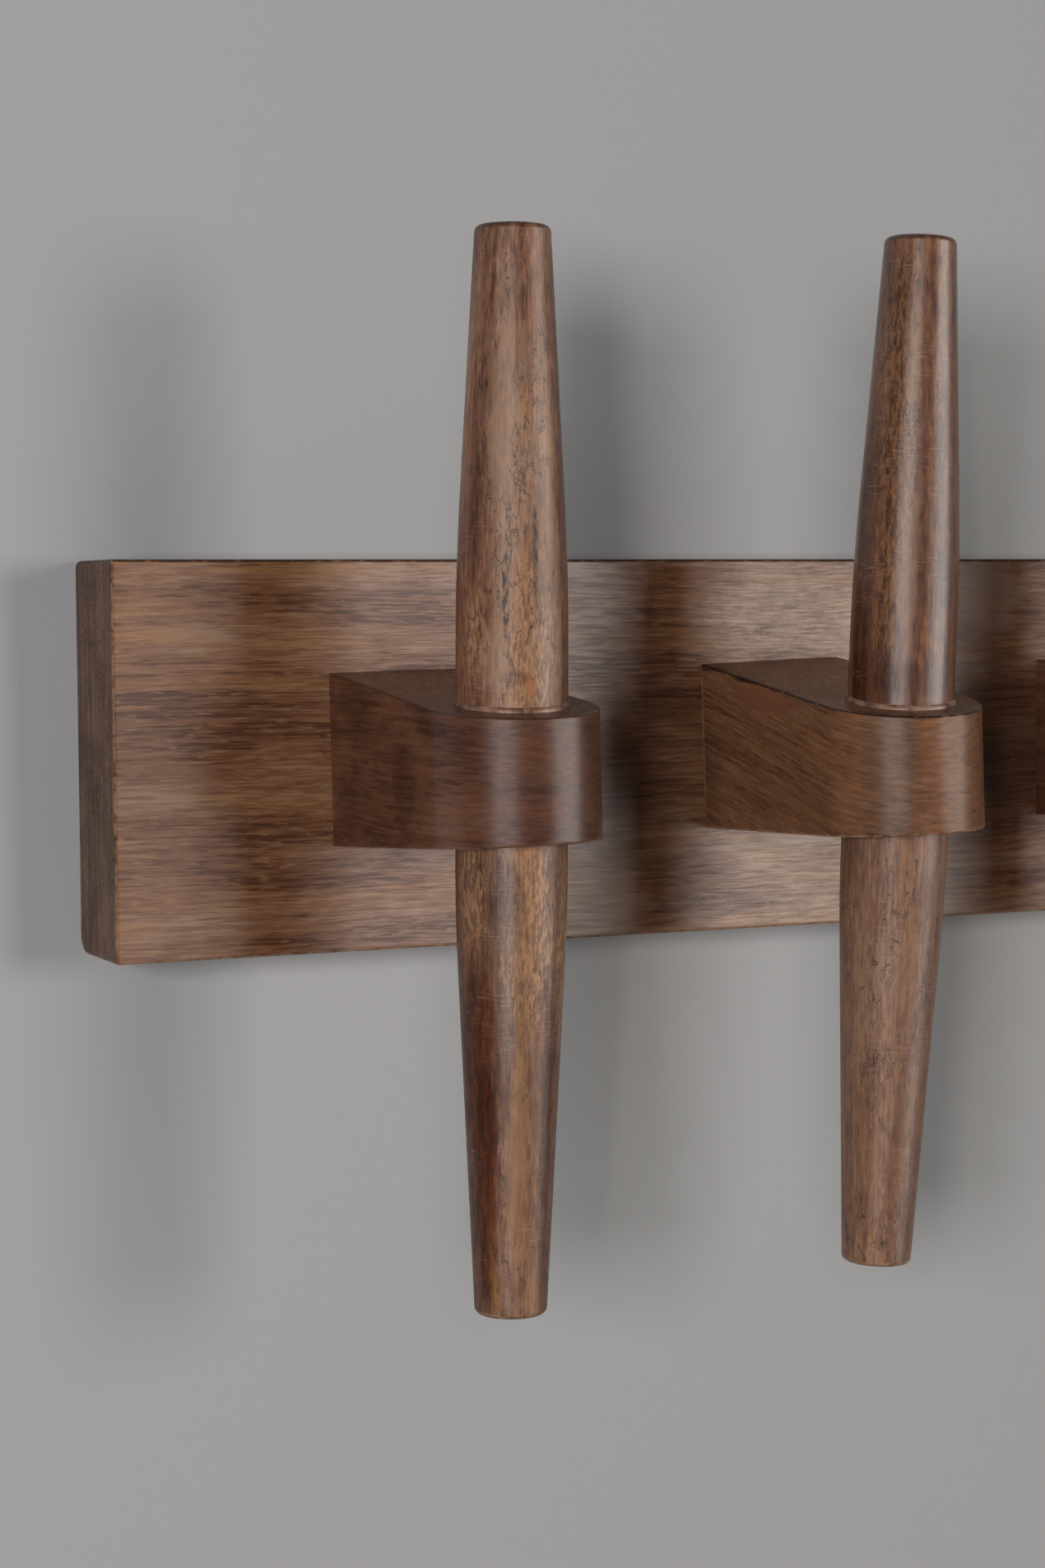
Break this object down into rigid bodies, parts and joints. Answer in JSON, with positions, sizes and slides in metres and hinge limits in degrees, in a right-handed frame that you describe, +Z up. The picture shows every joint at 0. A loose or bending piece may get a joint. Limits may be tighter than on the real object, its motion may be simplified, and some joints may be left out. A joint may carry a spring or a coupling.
{
  "type": "wall coat rack",
  "caption": "Wall coat rack: a flat timber board with tapered, round-nosed brackets, each holding an upright turned peg tapered at both ends for hanging coats.",
  "frame": {"origin": "centre of the board's back face, where it lies on the wall", "axes": "+X along the board to the right as seen from the room, +Y into the wall, +Z up"},
  "size_m": [0.7, 0.1405, 0.3124],
  "materials": {
    "board_wood": "satin lacquer over walnut-brown stain",
    "bracket_wood": "satin lacquer over dark walnut-brown stain",
    "peg_wood": "satin lacquer over walnut-brown stain",
    "screw_steel": "zinc-plated"
  },
  "bodies": {
    "root": {"board": "board_wood", "bracket_1": "bracket_wood", "bracket_2": "bracket_wood", "bracket_3": "bracket_wood", "bracket_4": "bracket_wood", "bracket_5": "bracket_wood", "peg_1": "peg_wood", "peg_2": "peg_wood", "peg_3": "peg_wood", "peg_4": "peg_wood", "peg_5": "peg_wood", "upper_screw_1": "screw_steel", "upper_screw_2": "screw_steel", "upper_screw_3": "screw_steel", "upper_screw_4": "screw_steel", "upper_screw_5": "screw_steel", "lower_screw_1": "screw_steel", "lower_screw_2": "screw_steel", "lower_screw_3": "screw_steel", "lower_screw_4": "screw_steel", "lower_screw_5": "screw_steel"}
  },
  "joints": []
}
